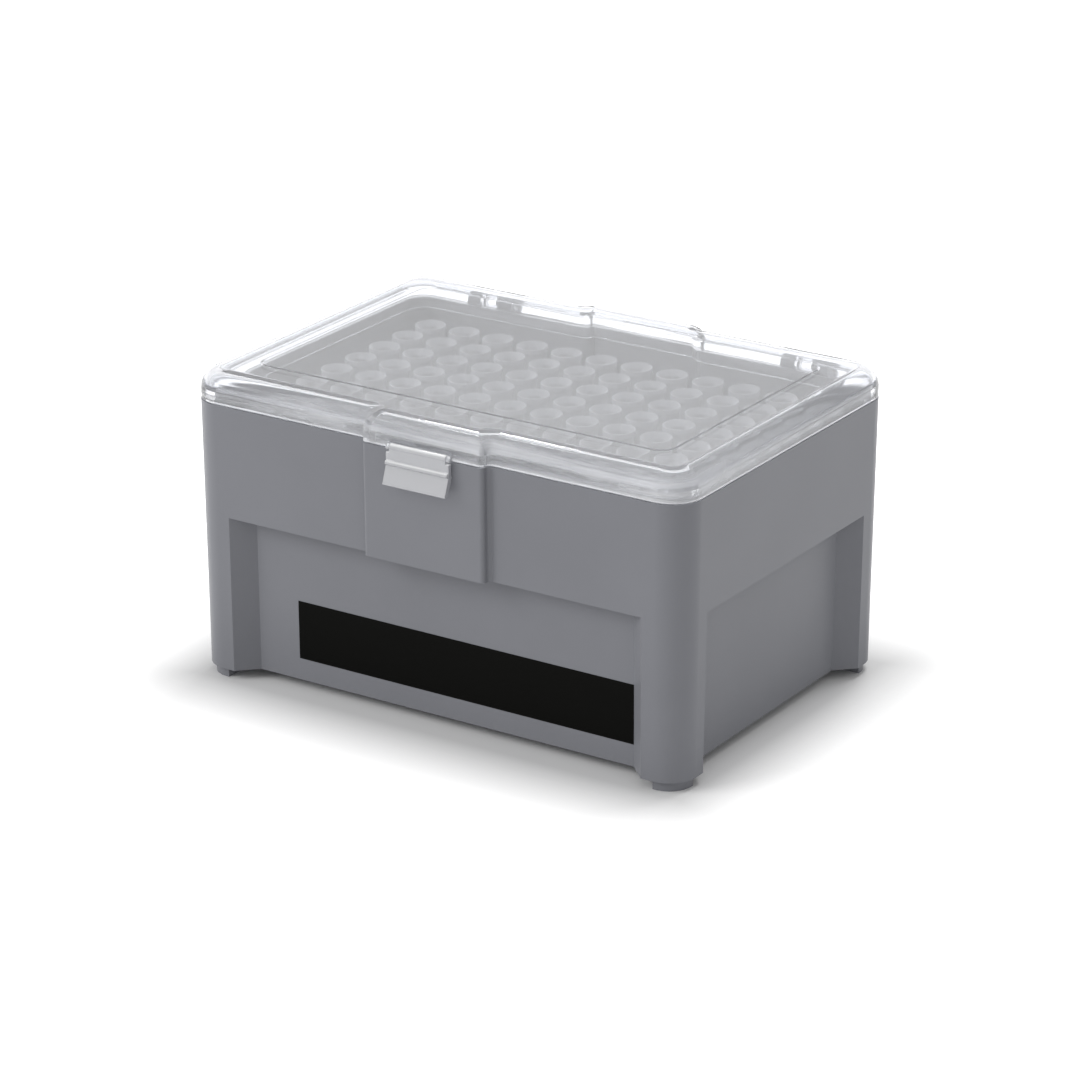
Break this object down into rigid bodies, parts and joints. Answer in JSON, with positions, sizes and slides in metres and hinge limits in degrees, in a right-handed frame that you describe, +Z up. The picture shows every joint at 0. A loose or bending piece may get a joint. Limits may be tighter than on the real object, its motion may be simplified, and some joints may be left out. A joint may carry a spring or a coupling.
{
  "type": "pipette tip box",
  "caption": "Oblong bench box with a rack of pipette tips, a clear hinged lid with a front clip, a grey drafted base with recessed sides and four corner feet.",
  "frame": {"origin": "under the middle of the box, at the height of the surface its feet stand on", "axes": "+X to the right along the long side, +Y from the clip at the front to the hinges at the back, +Z up"},
  "size_m": [0.122, 0.0947, 0.0693],
  "materials": {
    "grey_plastic": "satin",
    "rack_plastic": "satin",
    "clear_plastic": "clear gloss",
    "clip_plastic": "clear gloss",
    "tip_plastic": "translucent",
    "black_print": "satin"
  },
  "bodies": {
    "base": {"base_box": "grey_plastic", "rack_plate": "rack_plastic", "label_band": "black_print", "tip_column_01": "tip_plastic", "tip_column_02": "tip_plastic", "tip_column_03": "tip_plastic", "tip_column_04": "tip_plastic", "tip_column_05": "tip_plastic", "tip_column_06": "tip_plastic", "tip_column_07": "tip_plastic", "tip_column_08": "tip_plastic", "tip_column_09": "tip_plastic", "tip_column_10": "tip_plastic", "tip_column_11": "tip_plastic", "tip_column_12": "tip_plastic"},
    "lid": {"lid": "clear_plastic"},
    "latch": {"latch": "clip_plastic"}
  },
  "joints": [
    {"name": "lid_hinge", "type": "hinge", "parent": "base", "child": "lid", "pos_m": [0, 0.04495, 0.0626], "axis": [-1, 0, 0], "range_deg": [0, 105]},
    {"name": "clip_pivot", "type": "hinge", "parent": "lid", "child": "latch", "pos_m": [0, -0.04515, 0.0632], "axis": [-1, 0, 0], "range_deg": [0, 25], "stiffness_Nm_per_rad": 0.005}
  ]
}
